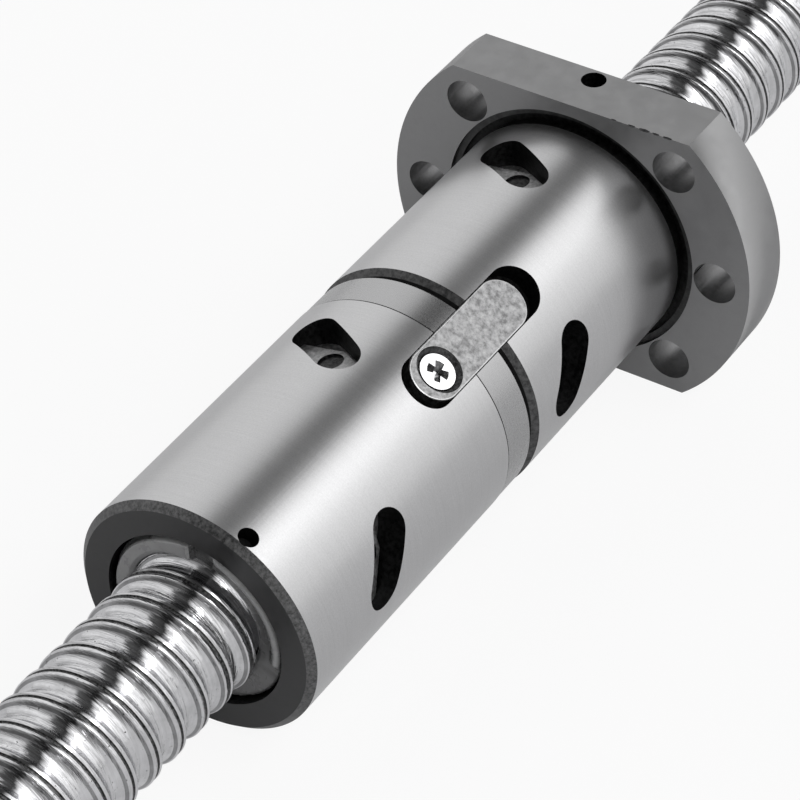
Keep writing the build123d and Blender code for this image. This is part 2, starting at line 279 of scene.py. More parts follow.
def prism(name, outline, x, angle, low, high, finishes, topOutline=None):
    # outline: (along the screw, round it) points, pushed outwards from low to high
    out = outward(angle)
    sideways = out.cross(alongX)
    verts = []
    for points, height in ((outline, low), (topOutline or outline, high)):
        verts += [Vector((x, 0, 0)) + alongX * a + sideways * b + out * height for a, b in points]
    n = len(outline)
    faces = [tuple(range(n)), tuple(range(2 * n - 1, n - 1, -1))]
    faces += [(i, (i + 1) % n, (i + 1) % n + n, i + n) for i in range(n)]
    return meshPiece(name, verts, faces, finishes)


def roundPoints(radius, steps):
    return [(radius * cos(2 * pi * i / steps), radius * sin(2 * pi * i / steps)) for i in range(steps)]


def slotPoints(length, width, steps, turn=0.0):
    # two half circles, the long way along the first axis, then turned
    radius, half = width / 2, (length - width) / 2
    points = []
    for side in (1, -1):
        for i in range(steps + 1):
            a = -pi / 2 + pi * i / steps
            points.append((side * (half + radius * cos(a)), side * radius * sin(a)))
    c, s = cos(radians(turn)), sin(radians(turn))
    return [(c * a - s * b, s * a + c * b) for a, b in points]


def rod(name, radius, x, angle, low, high, finishName, steps=40):
    return prism(name, roundPoints(radius, steps), x, angle, low, high, [finishName])


def cone(name, x, angle, low, lowRadius, high, highRadius, finishes, steps=48):
    foot, top = roundPoints(lowRadius, steps), roundPoints(highRadius, steps)
    return prism(name, foot, x, angle, low, high, finishes, top)


def joined(name, pieces):
    bm = bmesh.new()
    materials = []
    for piece in pieces:
        for material in piece.data.materials:
            if material not in materials:
                materials.append(material)
    for piece in pieces:
        start = len(bm.faces)
        bm.from_mesh(piece.data)
        bm.faces.ensure_lookup_table()
        own = [materials.index(m) for m in piece.data.materials]
        for face in bm.faces[start:]:
            face.material_index = own[min(face.material_index, len(own) - 1)]
    mesh = bpy.data.meshes.new(name)
    bm.to_mesh(mesh)
    bm.free()
    for piece in pieces:
        bpy.data.objects.remove(piece)
    return linkedPiece(name, mesh, materials)


def applied(piece):
    graph = bpy.context.evaluated_depsgraph_get()
    mesh = bpy.data.meshes.new_from_object(piece.evaluated_get(graph))
    piece.modifiers.clear()
    old = piece.data
    piece.data = mesh
    bpy.data.meshes.remove(old)


def cutAway(piece, cutters):
    for cutter in cutters:
        boolean = piece.modifiers.new("cut", "BOOLEAN")
        boolean.operation = "DIFFERENCE"
        boolean.solver = "EXACT"
        boolean.material_mode = "TRANSFER"
        boolean.object = cutter
    bpy.context.view_layer.update()
    applied(piece)
    for cutter in cutters:
        bpy.data.objects.remove(cutter)


def softenEdges(piece, width, rimLook="", segments=2, angle=32):
    # rimLook: the finish of the softened edges, or none to keep that of the faces beside them
    bevel = piece.modifiers.new("edges", "BEVEL")
    bevel.width = width
    bevel.segments = segments
    bevel.limit_method = "ANGLE"
    bevel.angle_limit = radians(angle)
    bevel.use_clamp_overlap = True
    bevel.material = piece.data.materials.find(rimLook)
    applied(piece)


def repaint(piece, lookOf):
    # lookOf: gives a face's finish from the one it has, its centre, its radius and its normal
    materials = piece.data.materials
    for face in piece.data.polygons:
        old = materials[face.material_index].name
        new = lookOf(old, face.center, hypot(face.center.y, face.center.z), face.normal)
        if new != old:
            face.material_index = materials.find(new)


# how far off a face may lie, or lean, and still belong to an end face, rim, ring or chamfer
slack = {"line": 0.01, "plane": 0.02, "face": 0.05, "chamfer": 0.1,
         "square": 0.98, "facing": 0.9, "slanted": 0.3}
shading = {"sharpAngle": 32, "flatWeight": 90, "flatArea": 1.0, "square": 0.9999,
           "leaning": 0.05, "facingOut": 0.996, "nearRadius": 0.02, "onAxis": 1e-6}


def turnedNormals(mesh, roundRadii):
    # faces of the turned outsides get the exact direction of the cylinder
    normals = [Vector(n.vector) for n in mesh.corner_normals]
    for face in mesh.polygons:
        # large flat faces square to an axis keep their own direction up to the rim
        squareness = max(abs(face.normal.x), abs(face.normal.z))
        if face.area > shading["flatArea"] and squareness > shading["square"]:
            for loop in face.loop_indices:
                normals[loop] = face.normal.copy()
            continue
        straight = Vector((0, face.center.y, face.center.z))
        if straight.length < shading["onAxis"] or abs(face.normal.x) > shading["leaning"]:
            continue
        if face.normal.dot(straight.normalized()) < shading["facingOut"]:
            continue
        for loop in face.loop_indices:
            co = mesh.vertices[mesh.loops[loop].vertex_index].co
            radius = hypot(co.y, co.z)
            if min(abs(radius - r) for r in roundRadii) < shading["nearRadius"]:
                normals[loop] = Vector((0, co.y, co.z)).normalized()
    mesh.normals_split_custom_set(normals)


def finishMesh(piece, roundRadii=(), sharpAngle=shading["sharpAngle"]):
    # smooth shading that keeps the flat faces flat
    piece.data.shade_smooth()
    piece.data.set_sharp_from_angle(angle=radians(sharpAngle))
    weighted = piece.modifiers.new("flatFaces", "WEIGHTED_NORMAL")
    weighted.keep_sharp = True
    weighted.weight = shading["flatWeight"]
    applied(piece)
    if roundRadii:
        turnedNormals(piece.data, roundRadii)


def settle(piece, body, slotName, *nodes):
    piece.data.transform(Matrix.Scale(mm, 4))
    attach(piece, body)
    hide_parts(*nodes)
    return piece


shaft = {
    "outerRadius": 9.95,
    "ballCircle": 10.375,
    "grooveRadius": 1.72,
    "grooveShift": 0.045,  # each flank's arc is this far across the groove's middle
    "grooveSteps": 7,
    "grooveMiddle": 0.001,  # points of a flank closer to the middle than this are left out
    "mouthDrop": 1.3,  # depth of the groove's mouth, in rims
    "rimRound": 0.16,
    "rimPoints": ((0.02, 1.1), (0.10, 0.35), (0.22, 0.05)),  # along from the mouth, depth in rims
    "crownShift": 0.05,
    "seamWidth": 0.30,
    "seamDepth": 0.24,
    "seamLip": (0.10, 0.06),
    "stepsPerTurn": 80,
    "sharpAngle": 38,
    "windowX": rearStart + 18.3,  # the rear nut's first window lies over a land here
    "windowAngle": 77.0,
}


def grooveCentre(angle):
    return shaft["windowX"] - lead / 2 + lead * (angle - shaft["windowAngle"]) / 360


def grooveProfile():
    # one ball groove about x = 0: two arcs that meet at the bottom
    radius, shift, steps = shaft["grooveRadius"], shaft["grooveShift"], shaft["grooveSteps"]
    edge = acos((shaft["ballCircle"] - shaft["outerRadius"]) / radius)
    mouth = shaft["outerRadius"] - shaft["rimRound"] * shaft["mouthDrop"]
    points = []
    for side in (-1, 1):
        for i in range(steps + 1):
            a = edge * (1 - i / steps) if side < 0 else edge * i / steps
            x = side * (radius * sin(a)) - side * shift
            if x * side > shaft["grooveMiddle"]:
                points.append((x, min(shaft["ballCircle"] - radius * cos(a), mouth)))
    return points


def landProfile(mouth):
    # between two grooves: a rounded rim on each side of a narrow rolled seam
    top, rise = shaft["outerRadius"], shaft["rimRound"]
    inner = lead / 2 - shaft["seamWidth"] / 2
    lipWidth, lipDepth = shaft["seamLip"]
    left = [(mouth + x, top - rise * depth) for x, depth in shaft["rimPoints"]]
    left += [((mouth + inner) / 2 + shaft["crownShift"], top), (inner - lipWidth, top - lipDepth),
             (inner, top - shaft["seamDepth"])]
    return left + [(lead - x, r) for x, r in reversed(left)]


def helixPiece(name, profile, startX, endX, steps, lookOf, finishes):
    # profile: (x, radius) points along one lead, carried round the screw from startX to endX
    # it starts and ends outside the piece, and what is over is cut off
    turns = ceil((endX - startX) / lead) + 2
    first = startX - lead * 1.5
    phase = grooveCentre(0)
    base = phase + lead * ceil((first - phase) / lead)
    count, total = len(profile), turns * steps
    verts, faces, looks = [], [], []
    for step in range(total + 1):
        turn = step / steps
        for x, r in profile:
            verts.append(aroundAxis(base + x + lead * turn, r, 360 * turn))
    for step in range(total):
        here, there = step * count, (step + 1) * count
        for i in range(count - 1):
            faces.append((here + i, here + i + 1, there + i + 1, there + i))
            looks.append(lookOf(i))
        # the last point of one turn is joined to the first of the next
        if step + 1 + steps <= total:
            onward = steps * count
            faces.append((here + count - 1, here + onward, there + onward, there + count - 1))
            looks.append(lookOf(count - 1))
    mesh = bpy.data.meshes.new(name)
    mesh.from_pydata([tuple(v) for v in verts], [], faces)
    piece = linkedPiece(name, mesh, [finish[look] for look in finishes])
    for polygon, look in zip(mesh.polygons, looks):
        polygon.material_index = finishes.index(look)
    cutSquare(mesh, startX, endX)
    return piece


def cutSquare(mesh, startX, endX):
    bm = bmesh.new()
    bm.from_mesh(mesh)
    bmesh.ops.remove_doubles(bm, verts=bm.verts, dist=mergeDistance)
    for x, direction in ((startX, -1), (endX, 1)):
        cut = bmesh.ops.bisect_plane(bm, geom=bm.verts[:] + bm.edges[:] + bm.faces[:],
                                     plane_co=(x, 0, 0), plane_no=(direction, 0, 0), clear_outer=True)
        rim = [e for e in cut["geom_cut"] if isinstance(e, bmesh.types.BMEdge)]
        bmesh.ops.holes_fill(bm, edges=[e for e in rim if e.is_valid and e.is_boundary], sides=0)
    bmesh.ops.recalc_face_normals(bm, faces=bm.faces)
    bm.to_mesh(mesh)
    bm.free()


groove = grooveProfile()
shaftProfile = groove + landProfile(groove[-1][0])


def shaftLook(i):
    # the seam between two rims is grainy and dark; the faces along both edges of the groove get a darker
    # steel, painted shade
    seamFirst = len(groove) + len(shaft["rimPoints"]) + 1
    if seamFirst <= i <= seamFirst + 2:
        return "seamSteel"
    nearEdge = i <= 1 or i == len(shaftProfile) - 1
    farEdge = len(groove) - 3 <= i <= len(groove) - 1
    return "dullShaftSteel" if nearEdge or farEdge else "shaftSteel"


screwShaft = helixPiece("screwShaft", shaftProfile, shaftStart, shaftEnd, shaft["stepsPerTurn"],
                        shaftLook, ["shaftSteel", "seamSteel", "dullShaftSteel"])
finishMesh(screwShaft, sharpAngle=shaft["sharpAngle"])
settle(screwShaft, "screw", "screw_shaft_steel", "screw_shaft")
print("screw shaft made:", len(screwShaft.data.polygons), "faces")


# what both nuts have: the deflector windows, the key's slot, the bore and the wiper's recess
window = {"length": 13.3, "width": 6.25, "tilt": 31.0, "foot": 7.0, "rim": 0.16, "steps": 20}
circuits = {"count": 4, "stepTurns": 1.25, "turnsBetween": 9, "flangeAngle": 81.0}
keySlot = {"angle": 34.5, "width": 7.8, "floor": 14.8, "startGap": 1.8, "endGap": 3.2, "steps": 28,
           "keyStart": spacerStart - 8.8, "keyEnd": spacerEnd + 9.7}
bore = {"radius": 10.5, "halfGroove": 1.75, "flank": ((1.3, 11.3), (0.6, 11.9)), "floor": 12.0,
        "stepsPerTurn": 40, "recessRadius": 13.2, "recessDepth": 4.5, "recessSteps": 160, "over": 1}
firstWindows = {
    "rear_nut": (shaft["windowX"], shaft["windowAngle"]),
    "flange_nut": (grooveCentre(circuits["flangeAngle"]) + lead / 2 + circuits["turnsBetween"] * lead,
                   circuits["flangeAngle"]),
}


def windowPlaces(nut):
    # where each window is: along the screw and round it
    x, angle = firstWindows[nut]
    turns = circuits["stepTurns"]
    return [(x + n * turns * lead, (angle + 360 * turns * n) % 360) for n in range(circuits["count"])]


def windowPoints(inset=0.0):
    length, width = window["length"] - 2 * inset, window["width"] - 2 * inset
    return slotPoints(length, width, window["steps"], 90 - window["tilt"])


def windowCutter(nut):
    # the cut walls take the near-black finish: dark metal with painted shade
    cuts = [prism("cut", windowPoints(), x, angle, window["foot"], cutterTop, ["windowWall"])
            for x, angle in windowPlaces(nut)]
    return joined("windowCutter", cuts)


def keySlotCutter():
    start, end = keySlot["keyStart"] - keySlot["startGap"], keySlot["keyEnd"] + keySlot["endGap"]
    outline = slotPoints(end - start, keySlot["width"], keySlot["steps"])
    # its walls take the same near-black finish: dark metal with painted shade
    return prism("keySlotCutter", outline, (start + end) / 2, keySlot["angle"], keySlot["floor"], cutterTop,
                 ["windowWall"])


def boreCutter(startX, endX):
    # the nut's own ball groove, open to the bore between its turns
    half, flank = bore["halfGroove"], bore["flank"]
    profile = [(half, bore["radius"]), (lead - half, bore["radius"])]
    profile += [(lead - x, r) for x, r in flank]
    profile += [(lead, bore["floor"])] + [(lead + x, r) for x, r in reversed(flank)]
    # the bore's walls are near black: painted shade
    return helixPiece("boreCutter", profile, startX - bore["over"], endX + bore["over"], bore["stepsPerTurn"],
                      lambda i: "recessSteel", ["recessSteel"])


def recessCutter(faceX, inwards):
    # the wiper's seat in a nut's end face
    outside, seat = faceX - inwards * bore["over"], faceX + inwards * bore["recessDepth"]
    outline = [(outside, 0), (outside, bore["recessRadius"]), (seat, bore["recessRadius"]), (seat, 0)]
    # the seat's walls are near black: painted shade
    return lathe("recess", outline, bore["recessSteps"], ["recessSteel"])


rearNut = {"radius": 17.9, "chamfer": 1.0, "endEdge": 0.12, "steps": 192,
           "screwX": 2.3, "screwAngle": 26.0, "screwRadius": 1.4, "screwHole": (9.0, 20.0),
           "seamWidth": 0.13, "seamDepth": 0.5}


def rearNutLook(look, centre, radius, normal):
    r, c = rearNut["radius"], rearNut["chamfer"]
    if normal.x < -slack["square"] and centre.x < rearStart + slack["face"]:
        return "endFaceSteel"
    slanted = normal.x < -slack["slanted"]
    if slanted and centre.x < rearStart + c + slack["plane"] and radius > r - c - slack["chamfer"]:
        return "chamferSteel"
    # a narrow band at the end beside the spacer is near black: painted shadow in the joint
    if centre.x > rearEnd - rearNut["seamWidth"] and radius > r - rearNut["seamDepth"]:
        return "seamLine"
    return look


def makeRearNut():
    n = rearNut
    r, c, e = n["radius"], n["chamfer"], n["endEdge"]
    outline = [(rearStart, 0), (rearStart, r - c), (rearStart + c, r), (rearEnd - e, r), (rearEnd, r - e),
               (rearEnd, 0)]
    piece = lathe("rearNut", outline, n["steps"],
                  ["groundBody", "edgeSteel", "windowWall", "endFaceSteel", "chamferSteel", "seamLine"])
    # the hole's walls are near black: dark metal with painted shade
    screwHole = rod("setScrewCut", n["screwRadius"], rearStart + n["screwX"], n["screwAngle"],
                    *n["screwHole"], "windowWall")
    cutAway(piece, [windowCutter("rear_nut"), keySlotCutter(), screwHole])
    softenEdges(piece, window["rim"], "edgeSteel")
    cutAway(piece, [boreCutter(rearStart, rearEnd), recessCutter(rearStart, 1)])
    repaint(piece, rearNutLook)
    finishMesh(piece, [r])
    return settle(piece, "nut", "ground_steel", "rear_nut")


rearNutPiece = makeRearNut()
print("rear nut made:", len(rearNutPiece.data.polygons), "faces")


spacer = {"radius": 17.82, "bore": 11.3, "edge": 0.12, "seam": 0.2, "seamEdge": 0.02, "steps": 192}


def spacerLook(look, centre, radius, normal):
    # end faces, edge chamfers and the step are near black: painted shadow in the joints
    inSeam = radius < spacer["radius"] - slack["plane"] and centre.x > spacerEnd - spacer["seam"]
    return "seamLine" if abs(normal.x) > slack["slanted"] or inSeam else look


def makeSpacer():
    # the end beside the flange nut steps down to a deeper edge; the end faces, the edge chamfers and that
    # step are painted near black: painted shadow in the joints
    r, e, deep = spacer["radius"], spacer["edge"], spacer["seam"]
    outline = [
        (spacerStart, spacer["bore"]), (spacerStart, r - e), (spacerStart + e, r), (spacerEnd - deep, r),
        (spacerEnd - deep + spacer["seamEdge"], r - deep), (spacerEnd, r - deep), (spacerEnd, spacer["bore"]),
    ]
    piece = lathe("spacerRing", outline, spacer["steps"], ["spacerSteel", "seamLine", "windowWall"])
    repaint(piece, spacerLook)
    cutAway(piece, [keySlotCutter()])
    finishMesh(piece, [r])
    settle(piece, "nut", "ground_steel", "spacer_ring")


makeSpacer()
print("spacer ring made")


flange = {
    "bodyRadius": 18.0, "bodyChamfer": 2.0, "seamTop": 0.82, "radius": 29.0, "halfFlats": 22.0, "steps": 224,
    "boltCircle": 23.5, "boltRadius": 3.3, "boltAngles": (45, 90, 135, 225, 270, 315), "boltSteps": 56,
    "grooveRadius": 20.0, "grooveDepth": 1.2, "stepRadius": 19.0, "stepDepth": 0.6,
    "neckRadius": 17.75, "neckWidth": 0.6,
    "screwX": 2.2, "screwRadius": 1.8, "screwHole": (9.0, 30.0),
    "flatCutter": (40, 80, 40.0), "over": 2,  # length, width and top of what cuts a flat
    "ringFrom": 0.3, "rimFrom": -0.5, "pastGroove": 1,
}
# small dents where the upper flat meets the front face: place along Y and size of each
nicks = {"places": ((-7.1, 0.13), (-9.9, 0.18), (-11.9, 0.27), (-13.7, 0.18), (-15.5, 0.22)), "x": 0.05,
         "stretch": 3.4, "shape": ((-1, 0), (-0.6, 0.8), (0, 1), (0.6, 0.8), (1, 0)), "steps": 10}


def nickCutter():
    # each dent is longer along the edge than across it
    pieces = []
    for y, size in nicks["places"]:
        outline = [(size * x, size * r) for x, r in nicks["shape"]]
        dent = lathe("nick", outline, nicks["steps"], ["shadowSteel"])
        place = Matrix.Translation((nicks["x"], y, flange["halfFlats"]))
        dent.data.transform(place @ Matrix.Diagonal((1.0, nicks["stretch"], 1.0, 1.0)))
        pieces.append(dent)
    return joined("nicks", pieces)


def flatCutter():
    length, width, top = flange["flatCutter"]
    a, b = length / 2, width / 2
    outline = [(-a, -b), (a, -b), (a, b), (-a, b)]
    low = flange["halfFlats"]
    flats = [prism("flat", outline, flangeEnd / 2, angle, low, top, ["flangeSteel"]) for angle in (0, 180)]
    return joined("flats", flats)


def boltCutter():
    over, radius = flange["over"], flange["boltRadius"]
    outline = [(-over, 0), (-over, radius), (flangeEnd + over, radius), (flangeEnd + over, 0)]
    bolts = []
    for angle in flange["boltAngles"]:
        bolt = lathe("bolt", outline, flange["boltSteps"], ["holeWall"])
        bolt.data.transform(Matrix.Translation(aroundAxis(0, flange["boltCircle"], angle)))
        bolts.append(bolt)
    return joined("bolts", bolts)


def flangeLook(look, centre, radius, normal):
    f = flange
    body, c = f["bodyRadius"], f["bodyChamfer"]
    near = slack["plane"]
    # the groove round the body is painted near black and its step dark grey: painted shade in the groove
    if look == "groundBody" and centre.x > -f["neckWidth"] - slack["line"]:
        outside = radius > f["grooveRadius"] - near or centre.x > f["grooveDepth"] + f["pastGroove"]
        look = "flangeSteel" if outside else "windowWall"
        if radius > f["stepRadius"] - near and normal.x < -slack["facing"] and centre.x > f["ringFrom"]:
            look = "ringSteel"
    slanted = normal.x < -slack["slanted"]
    # the front chamfer beside the spacer is dark, and near black below its kink: painted shadow in the joint
    if slanted and centre.x < flangeStart + c + near and radius > body - c - slack["chamfer"]:
        look = "shadowSteel" if radius > body - f["seamTop"] - near else "seamLine"
    if look == "edgeSteel" and centre.x > f["rimFrom"]:
        look = "rimSteel"
    return look


def makeFlangeNut():
    f = flange
    body, c, seam = f["bodyRadius"], f["bodyChamfer"], f["seamTop"]
    outline = [
        (flangeStart, 0), (flangeStart, body - c), (flangeStart + c - seam, body - seam),
        (flangeStart + c, body), (-f["neckWidth"], body),
        (-f["neckWidth"], f["neckRadius"]), (f["grooveDepth"], f["neckRadius"]),
        (f["grooveDepth"], f["stepRadius"]), (f["stepDepth"], f["stepRadius"]),
        (f["stepDepth"], f["grooveRadius"]), (0, f["grooveRadius"]),
        (0, f["radius"]), (flangeEnd, f["radius"]), (flangeEnd, 0),
    ]
    piece = lathe("flangeNut", outline, f["steps"],
                  ["groundBody", "edgeSteel", "windowWall", "flangeSteel", "shadowSteel", "holeWall",
                   "rimSteel", "ringSteel", "seamLine"])
    screwX = flangeEnd - f["screwX"]
    # the hole's walls are near black: dark metal with painted shade
    screwHole = rod("setScrewCut", f["screwRadius"], screwX, 0, *f["screwHole"], "windowWall")
    cutAway(piece, [flatCutter(), boltCutter(), windowCutter("flange_nut"), keySlotCutter(), screwHole])
    softenEdges(piece, window["rim"], "edgeSteel")
    cutAway(piece, [boreCutter(flangeStart, flangeEnd), recessCutter(flangeEnd, -1), nickCutter()])
    repaint(piece, flangeLook)
    finishMesh(piece, [body, f["radius"]])
    return settle(piece, "nut", "ground_steel", "flange_nut")


flangeNutPiece = makeFlangeNut()
print("flange nut made:", len(flangeNutPiece.data.polygons), "faces")


deflector = {"inset": 0.05, "seat": 13.6, "pad": 14.6, "padWidth": 5.2, "padHalfSpan": 2.6, "padSink": 0.01,
             "padEdge": 0.18, "dimpleRadius": 1.8, "dimpleDepth": 0.4, "dimpleTop": 20.0, "foot": 10.6}
ball = {"radius": 1.5875, "rounds": 2, "sameCorner": 1e-6}


def padPoints():
    # the window's outline narrowed, and ended square to the screw
    half, side = deflector["padHalfSpan"], deflector["padWidth"] / 2
    c, s = cos(radians(90 - window["tilt"])), sin(radians(90 - window["tilt"]))
    corners = []
    for alongSign, sideSign in ((1, -1), (1, 1), (-1, 1), (-1, -1)):
        # walk along the long side until x reaches the end
        b = sideSign * side
        reach = (alongSign * half + s * b) / c
        corners.append((alongSign * half, s * reach + c * b))
    return corners


def makeDeflector(nut, number, x, angle):
    d = deflector
    base = prism("base", windowPoints(d["inset"]), x, angle, d["foot"], d["seat"], ["deflectorSteel"])
    pad = prism("pad", padPoints(), x, angle, d["seat"] - d["padSink"], d["pad"],
                ["deflectorSteel", "edgeSteel"])
    softenEdges(pad, d["padEdge"], "edgeSteel")
    floor = d["pad"] - d["dimpleDepth"]
    # the dimple is near black: painted shade
    dimple = rod("dimple", d["dimpleRadius"], x, angle, floor, d["dimpleTop"], "recessSteel")
    cutAway(pad, [dimple])
    piece = joined(f"{nut}Deflector{number}", [base, pad])
    finishMesh(piece)
    settle(piece, "nut", "deflector_steel", f"{nut}_deflector_{number}")


def solidCentres(node):
    # each small solid of the node gives one ball's centre
    bm = bmesh.new()
    bm.from_mesh(node.data)
    bmesh.ops.remove_doubles(bm, verts=bm.verts, dist=ball["sameCorner"])
    seen, centres = set(), []
    for vert in bm.verts:
        if vert in seen:
            continue
        stack, island = [vert], []
        while stack:
            v = stack.pop()
            if v in seen:
                continue
            seen.add(v)
            island.append(v.co.copy())
            stack += [edge.other_vert(v) for edge in v.link_edges]
        centres.append(sum(island, Vector()) / len(island))
    bm.free()
    return centres


def makeBalls(nut, number):
    balls = bmesh.new()
    for centre in solidCentres(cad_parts[f"{nut}_balls_{number}"]):
        bmesh.ops.create_icosphere(balls, subdivisions=ball["rounds"], radius=ball["radius"] * mm,
                                   matrix=Matrix.Translation(centre))
    mesh = bpy.data.meshes.new(f"{nut}Balls{number}")
    balls.to_mesh(mesh)
    balls.free()
    mesh.shade_smooth()
    piece = linkedPiece(mesh.name, mesh, [finish["ballSteel"]])
    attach(piece, "balls")
    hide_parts(f"{nut}_balls_{number}")


for nut in ("rear_nut", "flange_nut"):
    for number, (x, angle) in enumerate(windowPlaces(nut), start=1):
        makeDeflector(nut, number, x, angle)
        makeBalls(nut, number)
print("deflectors and balls made")


key = {"width": 7.6, "top": 17.75, "edge": 0.2, "screwX": keySlot["keyStart"] + 4.8, "steps": 28,
       "sinkRadius": 3.4, "sinkOver": 0.01, "shankRadius": 1.6, "shankCut": (12.0, 20.0)}
keyScrew = {"headRadius": 2.68, "top": 17.2, "tip": 13.0, "shankRadius": 1.45, "edge": 0.1, "sink": 0.01,
            "armReach": 1.70, "armTip": 0.78, "armWaist": 0.56, "armBulge": 0.12,
            "crossDepth": 1.3, "crossOver": 0.3, "crossTurn": 25.0, "crossFloor": 0.35}


def makeKey():
    k, angle = key, keySlot["angle"]
    start, end = keySlot["keyStart"], keySlot["keyEnd"]
    outline = slotPoints(end - start, k["width"], k["steps"])
    piece = prism("parallelKey", outline, (start + end) / 2, angle, keySlot["floor"], k["top"],
                  ["keySteel", "edgeSteel", "recessSteel"])
    softenEdges(piece, k["edge"], "edgeSteel")
    # the hole and the countersink for the screw are near black: painted shade
    cutAway(piece, [rod("shankCut", k["shankRadius"], k["screwX"], angle, *k["shankCut"], "recessSteel")])
    cutAway(piece, [cone("sink", k["screwX"], angle, k["top"] - (k["sinkRadius"] - k["shankRadius"]),
                         k["shankRadius"], k["top"] + k["sinkOver"], k["sinkRadius"], ["recessSteel"])])
    finishMesh(piece)
    settle(piece, "nut", "key_steel", "parallel_key")


def crossPoints():
    # four arms that widen outwards to a rounded tip
    s = keyScrew
    arm = ((s["armWaist"], -s["armWaist"]), (s["armReach"], -s["armTip"]), (s["armReach"] + s["armBulge"], 0),
           (s["armReach"], s["armTip"]))
    outline = []
    for number in range(4):
        turn = radians(s["crossTurn"] + 90 * number)
        outline += [(cos(turn) * a - sin(turn) * b, sin(turn) * a + cos(turn) * b) for a, b in arm]
    return outline


def makeKeyScrew():
    s, x, angle = keyScrew, key["screwX"], keySlot["angle"]
    headFoot = s["top"] - (s["headRadius"] - s["shankRadius"])
    head = cone("head", x, angle, headFoot, s["shankRadius"], s["top"], s["headRadius"],
                ["screwHeadSteel", "crossSteel"])
    softenEdges(head, s["edge"])
    floor = s["top"] - s["crossDepth"]
    cross = prism("cross", crossPoints(), x, angle, floor, s["top"] + s["crossOver"], ["crossSteel"])
    # the cross narrows towards its floor
    middle = Vector((x, 0, 0)) + outward(angle) * floor
    for vert in cross.data.vertices:
        if (vert.co - middle).dot(outward(angle)) < s["crossDepth"] / 2:
            vert.co = middle + (vert.co - middle) * s["crossFloor"]
    cutAway(head, [cross])
    shank = rod("shank", s["shankRadius"], x, angle, s["tip"], headFoot + s["sink"], "screwHeadSteel")
    piece = joined("keyScrew", [head, shank])
    finishMesh(piece)
    settle(piece, "nut", "screw_steel", "key_screw")


makeKey()
makeKeyScrew()
print("key and its screw made")


# pad, ridge and ramp of the wiper's front: where they start and end round the screw, and how they fade
wiper = {
    "radius": 12.85, "thickness": 3.4, "gap": 0.12,
    "lip": 0.6, "lipDrop": 0.5, "rimWidth": 0.3, "rimDrop": 0.25,
    "padFrom": -92.0, "padTo": -1.0, "padRise": 0.9, "padRadius": 12.35,
    "padFade": 3, "padStep": 1.5, "padInner": 0.15, "padOuter": 0.2,
    "ridgeFrom": 12.0, "ridgeTo": 108.0, "ridgeRise": 0.9, "ridgeRadius": 11.95, "ridgeWidth": 0.95,
    "ridgeFadeIn": 9, "ridgeFadeOut": 8, "ridgeShape": 0.8,
    "ramp": (112, 116, 118, 150), "rampRise": 0.3,
    "rings": 17, "steps": 288, "paintedLightRise": 0.35, "shadeOverlap": 4, "sharpAngle": 50,
}


def shaftRadiusAt(x, angle):
    # how far the shaft stands out at a place, from its own profile
    along = (x - grooveCentre(angle)) % lead
    points = sorted((a % lead, r) for a, r in shaftProfile)
    points = [(points[-1][0] - lead, points[-1][1])] + points + [(points[0][0] + lead, points[0][1])]
    for (a, r), (b, q) in zip(points[:-1], points[1:]):
        if a <= along <= b:
            return r + (q - r) * (along - a) / max(b - a, 1e-6)
    return shaft["outerRadius"]


def softStep(value, low, high):
    share = min(max((value - low) / (high - low), 0.0), 1.0)
    return share * share * (3 - 2 * share)


def wiperHeight(angle, radius):
    # the front of the wiper: a flat raised pad, a pocket behind its step, then a rounded ridge
    w = wiper
    turn = (angle + 180) % 360 - 180
    pad = softStep(turn, w["padFrom"], w["padFrom"] + w["padFade"])
    pad *= 1 - softStep(turn, w["padTo"] - w["padStep"], w["padTo"] + w["padStep"])
    pad *= 1 - softStep(radius, w["padRadius"] - w["padInner"], w["padRadius"] + w["padOuter"])
    along = softStep(turn, w["ridgeFrom"], w["ridgeFrom"] + w["ridgeFadeIn"])
    along *= 1 - softStep(turn, w["ridgeTo"] - w["ridgeFadeOut"], w["ridgeTo"])
    off = (radius - w["ridgeRadius"]) / w["ridgeWidth"]
    ridge = along * max(0.0, 1 - off * off) ** w["ridgeShape"]
    riseFrom, riseTo, fallFrom, fallTo = w["ramp"]
    ramp = w["rampRise"] * softStep(turn, riseFrom, riseTo) * (1 - softStep(turn, fallFrom, fallTo))
    edge = softStep(radius, w["radius"] - w["rimWidth"], w["radius"])
    return w["padRise"] * pad + w["ridgeRise"] * ridge + ramp - w["rimDrop"] * edge


def wiperCorners(front, seat, outwards):
    # rings of points across the front, then the rim and the bore at the seat
    w = wiper
    corners = []
    for step in range(w["steps"]):
        angle = 360 * step / w["steps"]
        inner = shaftRadiusAt(front, angle) + w["gap"]
        for ring in range(w["rings"]):
            radius = inner + (w["radius"] - inner) * ring / (w["rings"] - 1)
            drop = w["lipDrop"] * (1 - softStep(radius, inner, inner + w["lip"]))
            height = wiperHeight(angle if outwards < 0 else -angle, radius) - drop
            corners.append(aroundAxis(front + outwards * height, radius, angle))
        corners.append(aroundAxis(seat, w["radius"], angle))
        corners.append(aroundAxis(seat, shaftRadiusAt(seat, angle) + w["gap"], angle))
    return corners


